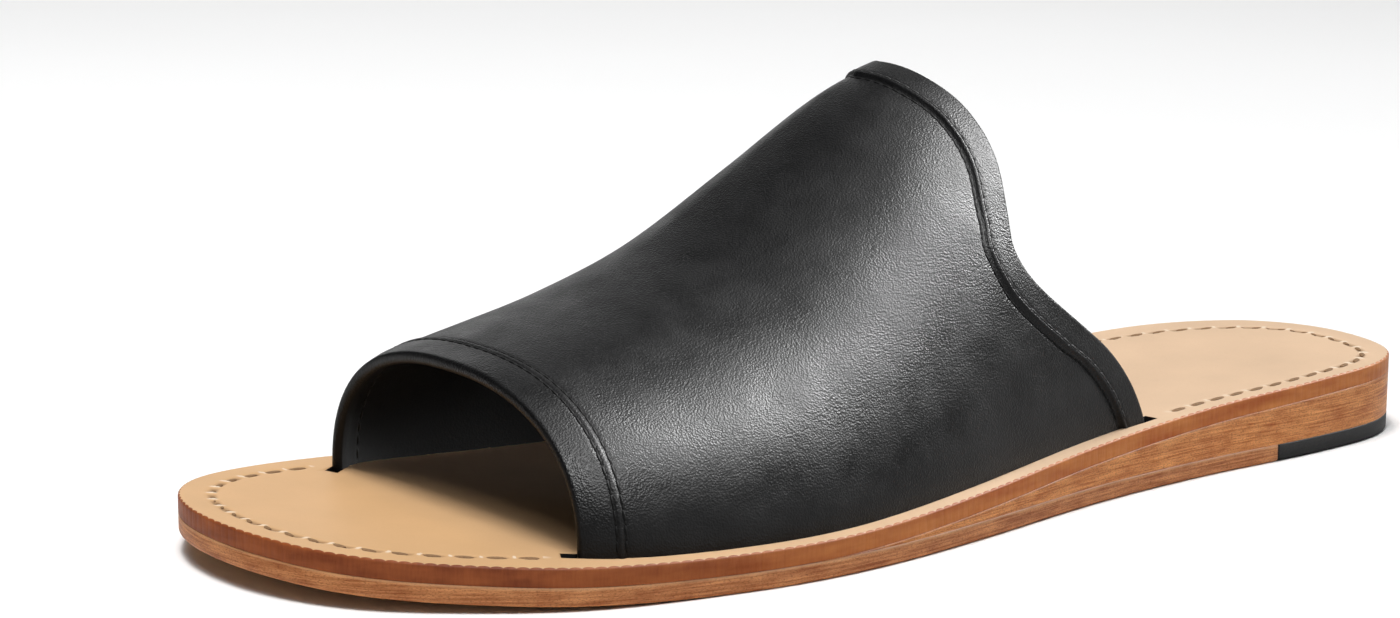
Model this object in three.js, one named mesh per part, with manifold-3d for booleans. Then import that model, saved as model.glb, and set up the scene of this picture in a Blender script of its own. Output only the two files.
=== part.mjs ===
// Slide sandal, left foot, men's size EU 43. Millimetres, +Z up.
// The toe points to -Y, the heel to +Y, and +X is the outer (lateral) side of the foot.
// The origin is on the floor, under the middle of the sandal's box.
import * as THREE from "three";
import { mergeVertices } from "three/addons/utils/BufferGeometryUtils.js";
import Module from "manifold-3d";

const wasm = await Module();
wasm.setup();

// Driving dimensions of the last and the sole
const soleLength = 298;
const ballWidth = 106;
const heelWidth = 72;
const heelHeight = 18.1;
const instepHeight = 80.5;
const toeSpring = 4.5;

// Layers of the sole
const outsoleThickness = 3.8;
const insoleThickness = 3.8;
const topPieceLength = 52.5;
const wedgeEdgeThickness = 0.4;
const layerGap = 0.3;
const outsoleRounding = 0.8;
const insoleRounding = 0.6;

// Leather of the upper, its turned front hem and its folded back band
const upperWall = 2.0;
const hemWidth = 7.5;
const hemRise = 0.35;
const bandWidth = 6.0;
const bandRise = 0.8;
const stepRun = 0.7;
const foldRounding = 0.8;

// Slots in the insole: the strip of insole left outside them, and the room round the upper
const edgeStrip = 4.4;
const slotClearance = 0.3;
const slotEndRoom = 2.5;

// Fineness of the facets
const soleStations = 56;
const upperTurnsPerSide = 20;
const upperMiddleRows = 14;

// Outline of the sole. along is a share of soleLength, lateral and medial are shares of the width there
// (ballWidth at the front, heelWidth at the rear), spring of toeSpring and lift of the heel's rise.
const soleSections = [
  { along: 0.0, lateral: -0.065, medial: 0.065, spring: 1.0, lift: 0.0 },
  { along: 0.012, lateral: 0.134, medial: 0.233, spring: 0.9, lift: 0.0 },
  { along: 0.045, lateral: 0.3, medial: 0.358, spring: 0.66, lift: 0.0 },
  { along: 0.1, lateral: 0.428, medial: 0.432, spring: 0.4, lift: 0.0 },
  { along: 0.18, lateral: 0.542, medial: 0.457, spring: 0.16, lift: 0.0 },
  { along: 0.28, lateral: 0.588, medial: 0.436, spring: 0.0, lift: 0.0 },
  { along: 0.38, lateral: 0.6, medial: 0.405, spring: 0.0, lift: 0.03 },
  { along: 0.5, lateral: 0.584, medial: 0.396, spring: 0.0, lift: 0.22 },
  { along: 0.62, lateral: 0.551, medial: 0.419, spring: 0.0, lift: 0.475 },
  { along: 0.75, lateral: 0.528, medial: 0.472, spring: 0.0, lift: 0.75 },
  { along: 0.87, lateral: 0.488, medial: 0.478, spring: 0.0, lift: 0.92 },
  { along: 0.95, lateral: 0.41, medial: 0.362, spring: 0.0, lift: 0.985 },
  { along: 0.985, lateral: 0.281, medial: 0.21, spring: 0.0, lift: 1.0 },
  { along: 1.0, lateral: 0.02, medial: -0.02, spring: 0.0, lift: 1.0 },
];
const widthChange = { start: 0.3, end: 0.8 };

// Sections of the upper from its front edge back. along is the crest's share of soleLength, skew turns the
// section in plan (its lateral foot lies further back), the tucks are the feet's insets in edge strips,
// crestSide is a share of ballWidth and crestHeight of instepHeight.
const upperSections = [
  { along: 0.168, skew: 0.115, lateralTuck: 1.75, medialTuck: 2.3, crestSide: 0.045, crestHeight: 0.386 },
  { along: 0.178, skew: 0.118, lateralTuck: 1.5, medialTuck: 1.8, crestSide: 0.037, crestHeight: 0.396 },
  { along: 0.195, skew: 0.122, lateralTuck: 1.25, medialTuck: 1.5, crestSide: 0.024, crestHeight: 0.413 },
  { along: 0.228, skew: 0.125, lateralTuck: 1.1, medialTuck: 1.3, crestSide: -0.001, crestHeight: 0.446 },
  { along: 0.285, skew: 0.12, lateralTuck: 1.0, medialTuck: 1.1, crestSide: -0.039, crestHeight: 0.506 },
  { along: 0.352, skew: 0.105, lateralTuck: 0.95, medialTuck: 1.0, crestSide: -0.072, crestHeight: 0.599 },
  { along: 0.436, skew: 0.075, lateralTuck: 1.0, medialTuck: 1.0, crestSide: -0.088, crestHeight: 0.776 },
  { along: 0.52, skew: 0.04, lateralTuck: 1.05, medialTuck: 1.05, crestSide: -0.087, crestHeight: 0.948 },
  { along: 0.604, skew: 0.0, lateralTuck: 1.05, medialTuck: 1.05, crestSide: -0.08, crestHeight: 1.018 },
  { along: 0.688, skew: -0.03, lateralTuck: 1.05, medialTuck: 1.05, crestSide: -0.06, crestHeight: 1.032 },
  { along: 0.745, skew: -0.05, lateralTuck: 1.05, medialTuck: 1.05, crestSide: -0.037, crestHeight: 1.06 },
];

// Shape of the arch from foot to crest: powers of 1 give an ellipse, less a squarer shoulder
const archPowers = [
  { along: 0.168, side: 0.84, crest: 0.866 },
  { along: 0.228, side: 0.9, crest: 0.875 },
  { along: 0.352, side: 1.0, crest: 0.88 },
  { along: 0.52, side: 1.0, crest: 0.87 },
  { along: 0.688, side: 1.0, crest: 0.83 },
  { along: 0.745, side: 1.0, crest: 0.81 },
];

// Back edge of the upper, from a foot (0 degrees) up to the crest (90): a flare to the slot, a hollow, then
// a rounded tab over the instep. Both sides are alike.
const backEdge = [
  { degrees: 0, along: 0.691 },
  { degrees: 5, along: 0.672 },
  { degrees: 10, along: 0.648 },
  { degrees: 14, along: 0.624 },
  { degrees: 18, along: 0.601 },
  { degrees: 22, along: 0.581 },
  { degrees: 26, along: 0.566 },
  { degrees: 31, along: 0.557 },
  { degrees: 37, along: 0.56 },
  { degrees: 48, along: 0.568 },
  { degrees: 60, along: 0.567 },
  { degrees: 75, along: 0.559 },
  { degrees: 90, along: 0.554 },
];

const lateralSide = 1;
const medialSide = -1;
const smallStep = 1e-4;

// Smooth curve through one column of a table
function smoothColumn(rows, column, placeOf) {
  const places = rows.map(placeOf);
  const values = rows.map((row) => row[column]);
  const curve = new THREE.CubicInterpolant(places, values, 1, [0]);
  return (place) => curve.evaluate(THREE.MathUtils.clamp(place, places[0], places.at(-1)))[0];
}

// Stations of the sole turn evenly round a half circle, so that they crowd at toe and heel
const placeOfTurn = (turn) => (1 - Math.cos(turn)) / 2;
const turnOfPlace = (place) => Math.acos(1 - 2 * THREE.MathUtils.clamp(place, 0, 1));
const soleTurnOfRow = (row) => turnOfPlace(row.along);
const lateralShare = smoothColumn(soleSections, "lateral", soleTurnOfRow);
const medialShare = smoothColumn(soleSections, "medial", soleTurnOfRow);
const springShare = smoothColumn(soleSections, "spring", soleTurnOfRow);
const liftShare = smoothColumn(soleSections, "lift", soleTurnOfRow);

// Heights of the sole's layers at a place along it
const forefootHeight = outsoleThickness + layerGap + insoleThickness;
const outsoleBottom = (place) => toeSpring * Math.max(0, springShare(turnOfPlace(place)));
const outsoleTop = (place) => outsoleBottom(place) + outsoleThickness;
const heelLift = (place) => (heelHeight - forefootHeight) * Math.max(0, liftShare(turnOfPlace(place)));
const insoleBottom = (place) => outsoleTop(place) + layerGap + heelLift(place);
const insoleTop = (place) => insoleBottom(place) + insoleThickness;

// Point of the sole's outline on one side, before any inset
function outlinePoint(turn, side) {
  const place = placeOfTurn(turn);
  const toHeel = THREE.MathUtils.smoothstep(place, widthChange.start, widthChange.end);
  const width = THREE.MathUtils.lerp(ballWidth, heelWidth, toHeel);
  const share = side === lateralSide ? lateralShare(turn) : medialShare(turn);
  return new THREE.Vector2(side * share * width, place * soleLength);
}

// The same point moved inwards, square to the outline
function insetPoint(turn, side, inset) {
  const before = outlinePoint(Math.max(0, turn - smallStep), side);
  const after = outlinePoint(Math.min(Math.PI, turn + smallStep), side);
  const run = after.sub(before).normalize();
  const inwards = new THREE.Vector2(-run.y, run.x).multiplyScalar(side);
  return outlinePoint(turn, side).addScaledVector(inwards, inset);
}

// Closed mesh from quads and triangles given as rings of points
class FaceList {
  constructor() {
    this.corners = [];
  }

  triangle(a, b, c) {
    this.corners.push(a, b, c);
  }

  quad(a, b, c, d) {
    this.triangle(a, b, c);
    this.triangle(a, c, d);
  }

  // Wall between two rings, seen from outside with the second ring on top and the rings running to the right
  wall(lower, upper) {
    lower.forEach((point, i) => {
      const next = (i + 1) % lower.length;
      this.quad(point, lower[next], upper[next], upper[i]);
    });
  }

  geometry() {
    const mesh = mergeVertices(new THREE.BufferGeometry().setFromPoints(this.corners), 1e-4);
    const index = mesh.index.array;
    const kept = [];
    for (let i = 0; i < index.length; i += 3) {
      const [a, b, c] = [index[i], index[i + 1], index[i + 2]];
      if (a !== b && b !== c && c !== a) kept.push(a, b, c);
    }
    mesh.setIndex(kept);
    return mesh;
  }
}

// Ring of the sole between two places: the lateral side towards the heel, then the medial side back
function soleRing(from, to, layer) {
  const start = turnOfPlace(from);
  const end = turnOfPlace(to);
  const sides = [lateralSide, medialSide].map((side) => {
    const points = [];
    for (let i = 0; i <= soleStations; i += 1) {
      const turn = THREE.MathUtils.lerp(start, end, i / soleStations);
      const flat = insetPoint(turn, side, layer.inset);
      const cutHere = (i === 0 && from > 0) || (i === soleStations && to < 1);
      const y = cutHere ? placeOfTurn(turn) * soleLength : flat.y;
      points.push(new THREE.Vector3(flat.x, y, layer.height(placeOfTurn(turn))));
    }
    return points;
  });
  return { lateral: sides[0], medial: sides[1], loop: [...sides[0], ...sides[1].slice().reverse()] };
}

// One layer of the sole, as a stack of rings from its bottom to its top
function soleLayer(from, to, layers) {
  const rings = layers.map((layer) => soleRing(from, to, layer));
  const faces = new FaceList();
  for (let k = 1; k < rings.length; k += 1) faces.wall(rings[k - 1].loop, rings[k].loop);
  const bottom = rings[0];
  const top = rings.at(-1);
  for (let i = 0; i < soleStations; i += 1) {
    faces.quad(top.lateral[i], top.lateral[i + 1], top.medial[i + 1], top.medial[i]);
    faces.quad(bottom.medial[i], bottom.medial[i + 1], bottom.lateral[i + 1], bottom.lateral[i]);
  }
  return faces.geometry();
}

// Columns of the upper's sections
const sectionPlace = (row) => row.along;
const upperSkew = smoothColumn(upperSections, "skew", sectionPlace);
const lateralTuck = smoothColumn(upperSections, "lateralTuck", sectionPlace);
const medialTuck = smoothColumn(upperSections, "medialTuck", sectionPlace);
const crestSide = smoothColumn(upperSections, "crestSide", sectionPlace);
const crestHeight = smoothColumn(upperSections, "crestHeight", sectionPlace);
const sidePower = smoothColumn(archPowers, "side", sectionPlace);
const crestPower = smoothColumn(archPowers, "crest", sectionPlace);
const backAlong = smoothColumn(backEdge, "along", (row) => row.degrees);
const upperFront = upperSections[0].along;

// Sideways distance of a section's foot from its crest: the foot stands on the slot line, inside the outline
function footReach(along, side) {
  const crestX = crestSide(along) * ballWidth;
  const inset = (side === lateralSide ? lateralTuck(along) : medialTuck(along)) * edgeStrip;
  let reach = ballWidth / 2;
  for (let pass = 0; pass < 6; pass += 1) {
    const place = along + (upperSkew(along) * reach * side) / soleLength;
    reach = side * (outlinePoint(turnOfPlace(place), side).x - crestX) - inset;
  }
  return reach;
}

// Outer face of the upper. turn runs from 0 at the lateral foot over the crest to PI at the medial foot.
function upperSkin(along, turn) {
  const side = Math.cos(turn) >= 0 ? lateralSide : medialSide;
  const across = side * footReach(along, side) * Math.abs(Math.cos(turn)) ** sidePower(along);
  const y = along * soleLength + upperSkew(along) * across;
  const rise = crestHeight(along) * instepHeight * Math.max(0, Math.sin(turn)) ** crestPower(along);
  return new THREE.Vector3(crestSide(along) * ballWidth + across, y, insoleTop(y / soleLength) + rise);
}

// Frame of the upper's skin at a point: towards the heel, round the arch and outwards
function skinFrame(along, turn) {
  const heelwards = upperSkin(along + smallStep, turn).sub(upperSkin(along - smallStep, turn)).normalize();
  const before = upperSkin(along, Math.max(0, turn - smallStep));
  const after = upperSkin(along, Math.min(Math.PI, turn + smallStep));
  const round = after.sub(before).normalize();
  const outwards = new THREE.Vector3().crossVectors(round, heelwards).normalize().negate();
  return { heelwards, round, outwards };
}

const backAlongOfTurn = (turn) => backAlong(90 - Math.abs(90 - THREE.MathUtils.radToDeg(turn)));

// Place on the skin at a distance over the leather from a start, towards the heel (1) or the toe (-1)
function placeOverLeather(start, distance, direction, turn) {
  const passes = 8;
  let along = start;
  for (let pass = 0; pass < passes; pass += 1) {
    const run = upperSkin(along, turn).distanceTo(upperSkin(along + direction * smallStep, turn)) / smallStep;
    along += (direction * distance) / (passes * run);
  }
  return along;
}

// The band keeps its width square to the slanting back edge, so along the foot it is longer there
function bandStretch(turn) {
  const edgePoint = (at) => upperSkin(backAlongOfTurn(at), at);
  const low = edgePoint(Math.max(0, turn - smallStep));
  const high = edgePoint(Math.min(Math.PI, turn + smallStep));
  const edgeRun = high.sub(low).normalize();
  const { heelwards } = skinFrame(backAlongOfTurn(turn), turn);
  return 1 / new THREE.Vector3().crossVectors(edgeRun, heelwards).length();
}

// Rows of the wall at one turn, from the front edge to the back edge, with the rise of the outer face
function wallRows(turn) {
  const back = backAlongOfTurn(turn);
  const stretch = bandStretch(turn);
  const hemEnd = placeOverLeather(upperFront, hemWidth, 1, turn);
  const hemStep = placeOverLeather(hemEnd, stepRun, 1, turn);
  const bandStart = placeOverLeather(back, bandWidth * stretch, -1, turn);
  const bandStep = placeOverLeather(bandStart, stepRun * stretch, -1, turn);
  const rows = [
    { along: upperFront, rise: hemRise },
    { along: hemEnd, rise: hemRise },
  ];
  for (let i = 0; i <= upperMiddleRows; i += 1) {
    rows.push({ along: THREE.MathUtils.lerp(hemStep, bandStep, i / upperMiddleRows), rise: 0 });
  }
  rows.push({ along: bandStart, rise: bandRise }, { along: back, rise: bandRise });
  return rows;
}

// Ring of the upper's wall at one turn: the outer face to the back, round the fold, the inner face to the front
function wallRing(turn) {
  const rows = wallRows(turn);
  const outer = [];
  const inner = [];
  rows.forEach(({ along, rise }) => {
    const point = upperSkin(along, turn);
    const { outwards } = skinFrame(along, turn);
    outer.push(point.clone().addScaledVector(outwards, rise));
    inner.push(point.clone().addScaledVector(outwards, -upperWall));
  });
  const nose = (i, direction) => {
    const { heelwards } = skinFrame(rows.at(i).along, turn);
    const middle = outer.at(i).clone().add(inner.at(i)).multiplyScalar(0.5);
    return middle.addScaledVector(heelwards, direction * foldRounding);
  };
  return { outer, inner, backNose: nose(-1, 1), frontNose: nose(0, -1) };
}

const ringPoints = (ring) => [...ring.outer, ring.backNose, ...ring.inner.slice().reverse(), ring.frontNose];

// The part of the wall that goes down through the insole's slot
const tucked = (ring) => ringPoints(ring).map((point) => point.clone().setZ(insoleBottom(point.y / soleLength)));

// Turns of the rings, closer together near the feet, where the back edge flares
const footCrowding = 1.35;
const turns = [];
for (let i = -upperTurnsPerSide; i <= upperTurnsPerSide; i += 1) {
  const fromFoot = 1 - Math.abs(i) / upperTurnsPerSide;
  const quarter = (Math.PI / 2) * fromFoot ** footCrowding;
  turns.push(i < 0 ? quarter : Math.PI - quarter);
}

function upperGeometry() {
  const rings = turns.map(wallRing);
  const loops = [tucked(rings[0]), ...rings.map(ringPoints), tucked(rings.at(-1))];
  const faces = new FaceList();
  for (let k = 1; k < loops.length; k += 1) faces.wall(loops[k - 1], loops[k]);
  const rowCount = rings[0].outer.length;
  const closeFoot = (loop, flip) => {
    const outer = loop.slice(0, rowCount);
    const backNose = loop[rowCount];
    const inner = loop.slice(rowCount + 1, 2 * rowCount + 1).reverse();
    const frontNose = loop.at(-1);
    const face = (a, b, c) => (flip ? faces.triangle(a, c, b) : faces.triangle(a, b, c));
    for (let i = 1; i < rowCount; i += 1) {
      face(outer[i - 1], outer[i], inner[i]);
      face(outer[i - 1], inner[i], inner[i - 1]);
    }
    face(outer.at(-1), backNose, inner.at(-1));
    face(outer[0], inner[0], frontNose);
  };
  closeFoot(loops[0], true);
  closeFoot(loops.at(-1), false);
  return faces.geometry();
}

// Cutter for the slot round one foot of the upper
function slotCutter(turn) {
  const ring = wallRing(turn);
  const flat = (point) => new THREE.Vector2(point.x, point.y);
  const widen = (from, to) => {
    const a = flat(from);
    const away = flat(from).sub(flat(to)).normalize();
    return a.addScaledVector(away, slotClearance);
  };
  const outer = ring.outer.map((point, i) => widen(point, ring.inner[i]));
  const inner = ring.inner.map((point, i) => widen(point, ring.outer[i]));
  const endPoint = (nose, i) => {
    const middle = outer.at(i).clone().add(inner.at(i)).multiplyScalar(0.5);
    const away = flat(nose).sub(middle).normalize();
    return middle.addScaledVector(away, foldRounding + slotEndRoom);
  };
  const outline = [...outer, endPoint(ring.backNose, -1), ...inner.slice().reverse(), endPoint(ring.frontNose, 0)];
  const depth = heelHeight + toeSpring;
  return new THREE.ExtrudeGeometry(new THREE.Shape(outline), { depth, bevelEnabled: false });
}

// Solids for cutting, and back to a mesh
function toSolid(geometry) {
  geometry.deleteAttribute("normal");
  geometry.deleteAttribute("uv");
  const merged = mergeVertices(geometry, 1e-4);
  const vertProperties = new Float32Array(merged.attributes.position.array);
  const triVerts = new Uint32Array(merged.index.array);
  return new wasm.Manifold(new wasm.Mesh({ numProp: 3, vertProperties, triVerts }));
}

function toGeometry(solid) {
  const mesh = solid.getMesh();
  const geometry = new THREE.BufferGeometry();
  geometry.setAttribute("position", new THREE.BufferAttribute(mesh.vertProperties, 3));
  geometry.setIndex(new THREE.BufferAttribute(mesh.triVerts, 1));
  return geometry;
}

const assembly = new THREE.Group();
function addPiece(name, geometry, color, roughness) {
  geometry.computeVertexNormals();
  const piece = new THREE.Mesh(geometry, new THREE.MeshStandardMaterial({ color, roughness, metalness: 0 }));
  piece.name = name;
  assembly.add(piece);
}

// Leather outsole, up to the top piece at the heel
const topPieceFront = 1 - topPieceLength / soleLength;
const outsoleEnd = topPieceFront - layerGap / soleLength;
const outsoleLayers = [
  { inset: outsoleRounding, height: outsoleBottom },
  { inset: 0, height: (place) => outsoleBottom(place) + outsoleRounding },
  { inset: 0, height: outsoleTop },
];
addPiece("outsole", soleLayer(0, outsoleEnd, outsoleLayers), "#a86c45", 0.55);

// Rubber top piece at the heel, flush with the outsole
addPiece("heel_top_piece", soleLayer(topPieceFront, 1, outsoleLayers), "#25282a", 0.7);

// Stacked leather wedge, from where the insole has lifted by a thin edge's thickness
let wedgeFront = soleSections.find((row) => row.lift > 0).along;
while (heelLift(wedgeFront) < layerGap + wedgeEdgeThickness && wedgeFront < topPieceFront) {
  wedgeFront += 1 / soleLength;
}
const wedgeLayers = [
  { inset: 0, height: (place) => outsoleTop(place) + layerGap },
  { inset: 0, height: (place) => insoleBottom(place) - layerGap },
];
addPiece("heel_wedge", soleLayer(wedgeFront, 1, wedgeLayers), "#b97d55", 0.55);

// Leather insole with a slot for each foot of the upper
const insoleLayers = [
  { inset: 0, height: insoleBottom },
  { inset: 0, height: (place) => insoleTop(place) - insoleRounding },
  { inset: insoleRounding, height: insoleTop },
];
const insoleSolid = toSolid(soleLayer(0, 1, insoleLayers))
  .subtract(toSolid(slotCutter(0)))
  .subtract(toSolid(slotCutter(Math.PI)));
addPiece("insole", toGeometry(insoleSolid), "#dcb98c", 0.5);

// Upper: one leather band
addPiece("upper", upperGeometry(), "#1c1c1e", 0.42);

// The assembly is moved so that the origin lies under the middle of its box
const box = new THREE.Box3().setFromObject(assembly);
const middle = box.getCenter(new THREE.Vector3());
assembly.position.set(-middle.x, -middle.y, -box.min.z);
const sandal = new THREE.Group();
sandal.add(assembly);

export default sandal;
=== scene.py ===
# Slide sandal, left shoe: a black leather band on a tan insole, a brown leather sole and a low stacked heel.
# Metres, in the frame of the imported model: the toe points to -Y and +X is the outer side of the foot.
import math

import bmesh
import bpy
import numpy as np
from mathutils import Matrix, Vector


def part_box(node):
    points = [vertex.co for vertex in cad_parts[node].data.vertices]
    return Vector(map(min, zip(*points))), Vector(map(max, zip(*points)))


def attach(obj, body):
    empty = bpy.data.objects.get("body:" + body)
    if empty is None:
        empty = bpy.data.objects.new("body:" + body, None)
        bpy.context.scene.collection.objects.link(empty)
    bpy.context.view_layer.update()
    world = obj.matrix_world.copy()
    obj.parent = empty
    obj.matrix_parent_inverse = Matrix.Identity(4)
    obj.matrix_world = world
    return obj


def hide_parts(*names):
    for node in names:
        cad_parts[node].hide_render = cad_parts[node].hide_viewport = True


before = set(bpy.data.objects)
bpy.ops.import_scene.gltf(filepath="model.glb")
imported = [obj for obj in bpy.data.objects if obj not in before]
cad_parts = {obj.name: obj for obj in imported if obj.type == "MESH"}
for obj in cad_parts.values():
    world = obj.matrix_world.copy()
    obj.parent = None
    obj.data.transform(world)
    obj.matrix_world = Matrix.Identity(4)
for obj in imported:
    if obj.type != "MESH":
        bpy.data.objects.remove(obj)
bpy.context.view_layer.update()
MM = 0.001


# OUTSOLE
# The real piece is one cut of firm vegetable-tanned leather, 3.8 mm thick, glued under the whole foot.
# Its edge is sanded level with the layers above it, stained brown and waxed, and its toe curls up a little.
insole_low, insole_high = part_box("insole")
outsole_low, outsole_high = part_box("outsole")
sole_length = insole_high.y - insole_low.y
toe_tip = insole_low.y
ball_width = 106 * MM
heel_width = 72 * MM
toe_spring = 4.5 * MM
outsole_thickness = 3.8 * MM
insole_thickness = 3.8 * MM
layer_gap = 0.3 * MM
heel_height = insole_high.z
heel_rise = heel_height - outsole_thickness - layer_gap - insole_thickness
LATERAL, MEDIAL = 1, -1

# Outline of the sole: shares of the length, of the width there, of the toe spring and of the heel's rise
SOLE_SECTIONS = {
    "along": [0, 0.012, 0.045, 0.1, 0.18, 0.28, 0.38, 0.5, 0.62, 0.75, 0.87, 0.95, 0.985, 1],
    "lateral": [-0.065, 0.134, 0.3, 0.428, 0.542, 0.588, 0.6, 0.584, 0.551, 0.528, 0.488, 0.41, 0.281, 0.02],
    "medial": [0.065, 0.233, 0.358, 0.432, 0.457, 0.436, 0.405, 0.396, 0.419, 0.472, 0.478, 0.362, 0.21, -0.02],
    "spring": [1, 0.9, 0.66, 0.4, 0.16, 0, 0, 0, 0, 0, 0, 0, 0, 0],
    "lift": [0, 0, 0, 0, 0, 0, 0.03, 0.22, 0.475, 0.75, 0.92, 0.985, 1, 1],
}
width_change = (0.3, 0.8)


def smooth_column(places, values):
    """A smooth curve through a table's column, whose slope at a row is the mean of the slopes beside it."""
    places, values = np.array(places, float), np.array(values, float)
    runs = np.diff(places)
    steps = np.diff(values) / runs
    slopes = np.concatenate([steps[:1], (steps[1:] + steps[:-1]) / 2, steps[-1:]])

    def curve(place):
        place = np.clip(place, places[0], places[-1])
        k = np.clip(np.searchsorted(places, place, side="right") - 1, 0, len(runs) - 1)
        p = (place - places[k]) / runs[k]
        ahead = p * p * (3 - 2 * p)
        start = p * (1 - p) ** 2 * runs[k] * slopes[k]
        end = p * p * (p - 1) * runs[k] * slopes[k + 1]
        return values[k] * (1 - ahead) + values[k + 1] * ahead + start + end

    return curve


def step_up(value, start, run):
    """Smooth step from 0 before start to 1 a run later."""
    t = np.clip((value - start) / run, 0, 1)
    return t * t * (3 - 2 * t)


def place_of_turn(turn):
    return (1 - np.cos(turn)) / 2


def turn_of_place(place):
    return np.arccos(1 - 2 * np.clip(place, 0, 1))


def place_of_y(y):
    return (y - toe_tip) / sole_length


section_turns = turn_of_place(np.array(SOLE_SECTIONS["along"]))
sole_column = {name: smooth_column(section_turns, values) for name, values in SOLE_SECTIONS.items()}


def heel_lift(place):
    return heel_rise * np.maximum(0, sole_column["lift"](turn_of_place(place)))


def outsole_bottom(place):
    return toe_spring * np.maximum(0, sole_column["spring"](turn_of_place(place)))


def outsole_top(place):
    return outsole_bottom(place) + outsole_thickness


def insole_bottom(place):
    return outsole_top(place) + layer_gap + heel_lift(place)


def insole_top(place):
    return insole_bottom(place) + insole_thickness


def outline(turn, side):
    """The sole's outline before it is set in the frame: turn goes from 0 at the toe to pi at the heel."""
    place = place_of_turn(turn)
    to_heel = step_up(place, width_change[0], width_change[1] - width_change[0])
    width = ball_width + (heel_width - ball_width) * to_heel
    share = np.where(side == LATERAL, sole_column["lateral"](turn), sole_column["medial"](turn))
    return np.stack([side * share * width, place * sole_length], -1)


def run_along(points):
    """Distance along a line of points from its first one."""
    return np.concatenate([[0], np.cumsum(np.linalg.norm(np.diff(points, axis=0), axis=1))])


fine_turns = np.linspace(0, math.pi, 1500)
side_outlines = {side: outline(fine_turns, side) for side in (LATERAL, MEDIAL)}
side_shift = insole_high.x - side_outlines[LATERAL][:, 0].max()
edge_runs = {side: run_along(line) for side, line in side_outlines.items()}


def inset_outline(turn, side, inset):
    """The outline in the frame, moved inwards by inset, square to itself."""
    step = 1e-3
    before = outline(np.maximum(0, turn - step), side)
    run = outline(np.minimum(math.pi, turn + step), side) - before
    run = run / np.linalg.norm(run, axis=-1, keepdims=True)
    inwards = np.stack([-run[..., 1], run[..., 0]], -1) * np.expand_dims(side, -1)
    return outline(turn, side) + inwards * np.expand_dims(inset, -1) + [side_shift, toe_tip]


def sole_sheet(cells, rim_insets, top, bottom, front=None, back=None):
    """A layer of the sole: a square grid moved onto the outline, its outer rings at the rim insets.
    top and bottom give heights from x, y and inset. front and back are where it is cut off."""
    bm = bmesh.new()
    bmesh.ops.create_grid(bm, x_segments=cells, y_segments=cells, size=1)
    square = np.array([vert.co[:2] for vert in bm.verts])
    ring = np.abs(square).max(1)
    on_rim = square / np.maximum(ring, 1e-6)[:, None]
    disc_x = on_rim[:, 0] * np.sqrt(1 - on_rim[:, 1] ** 2 / 2)
    disc_y = on_rim[:, 1] * np.sqrt(1 - on_rim[:, 0] ** 2 / 2)
    turn = np.arccos(np.clip(-disc_y, -1, 1))
    side = np.where(disc_x >= 0, LATERAL, MEDIAL)
    rim_rings = 1 - np.arange(len(rim_insets)) * 2 / cells
    inset = np.interp(ring, rim_rings[::-1], rim_insets[::-1])
    middle = np.array([side_shift, toe_tip + sole_length / 2])
    inner = np.minimum(1, ring / rim_rings[-1])
    points = middle + (inset_outline(turn, side, inset) - middle) * inner[:, None]
    lateral_run = np.interp(turn, fine_turns, edge_runs[LATERAL])
    medial_run = np.interp(turn, fine_turns, edge_runs[MEDIAL])
    run = np.where(side == LATERAL, lateral_run, -medial_run)
    inset_layer, run_layer, level_layer = (bm.verts.layers.float.new(name) for name in ("inset", "run", "level"))
    for vert, point, vert_inset, vert_run in zip(bm.verts, points, inset, run):
        vert.co = (*point, 0)
        vert[inset_layer] = vert_inset
        vert[run_layer] = vert_run
    for cut, outwards in ((front, -1), (back, 1)):
        if cut is not None:
            everything = bm.verts[:] + bm.edges[:] + bm.faces[:]
            plane = {"plane_co": (0, cut, 0), "plane_no": (0, outwards, 0)}
            bmesh.ops.bisect_plane(bm, geom=everything, dist=1e-7, clear_outer=True, **plane)
    upper_side = bm.verts[:]
    grown = bmesh.ops.extrude_face_region(bm, geom=bm.faces[:])
    lower_side = [part for part in grown["geom"] if isinstance(part, bmesh.types.BMVert)]
    for verts, height, level in ((upper_side, top, 1), (lower_side, bottom, 0)):
        spots = np.array([(vert.co.x, vert.co.y, vert[inset_layer]) for vert in verts])
        for vert, z in zip(verts, height(*spots.T)):
            vert.co.z = z
            vert[level_layer] = level
    bmesh.ops.recalc_face_normals(bm, faces=bm.faces[:])
    return bm


def rounded(inset, radius):
    """How far the surface falls at a distance from an edge with that radius."""
    return radius - np.sqrt(np.maximum(0, radius**2 - np.maximum(0, radius - inset) ** 2))


def colour(code):
    """An sRGB hex colour as the linear one that a shader takes."""
    parts = [int(code[k : k + 2], 16) / 255 for k in (1, 3, 5)]
    return [p / 12.92 if p <= 0.04045 else ((p + 0.055) / 1.055) ** 2.4 for p in parts] + [1]


def new_material(name):
    material = bpy.data.materials.new(name)
    material.use_nodes = True
    material.node_tree.nodes.clear()
    return material


def add(material, kind, inputs, output=0, **settings):
    """Adds a node and gives one of its outputs. An input that is another node's output is linked."""
    node = material.node_tree.nodes.new(kind)
    for name, value in settings.items():
        setattr(node, name, value)
    for name, value in inputs.items():
        if isinstance(value, bpy.types.NodeSocket):
            material.node_tree.links.new(value, node.inputs[name])
        else:
            node.inputs[name].default_value = value
    return node.outputs[output]


def make_piece(bm, name, materials, node=None):
    """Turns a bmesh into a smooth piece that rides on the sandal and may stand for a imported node."""
    mesh = bpy.data.meshes.new(name)
    bm.to_mesh(mesh)
    bm.free()
    mesh.shade_smooth()
    for material in materials:
        mesh.materials.append(material)
    piece = bpy.data.objects.new(name, mesh)
    bpy.context.scene.collection.objects.link(piece)
    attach(piece, "root")
    if node:
        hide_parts(node)
    return piece


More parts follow.
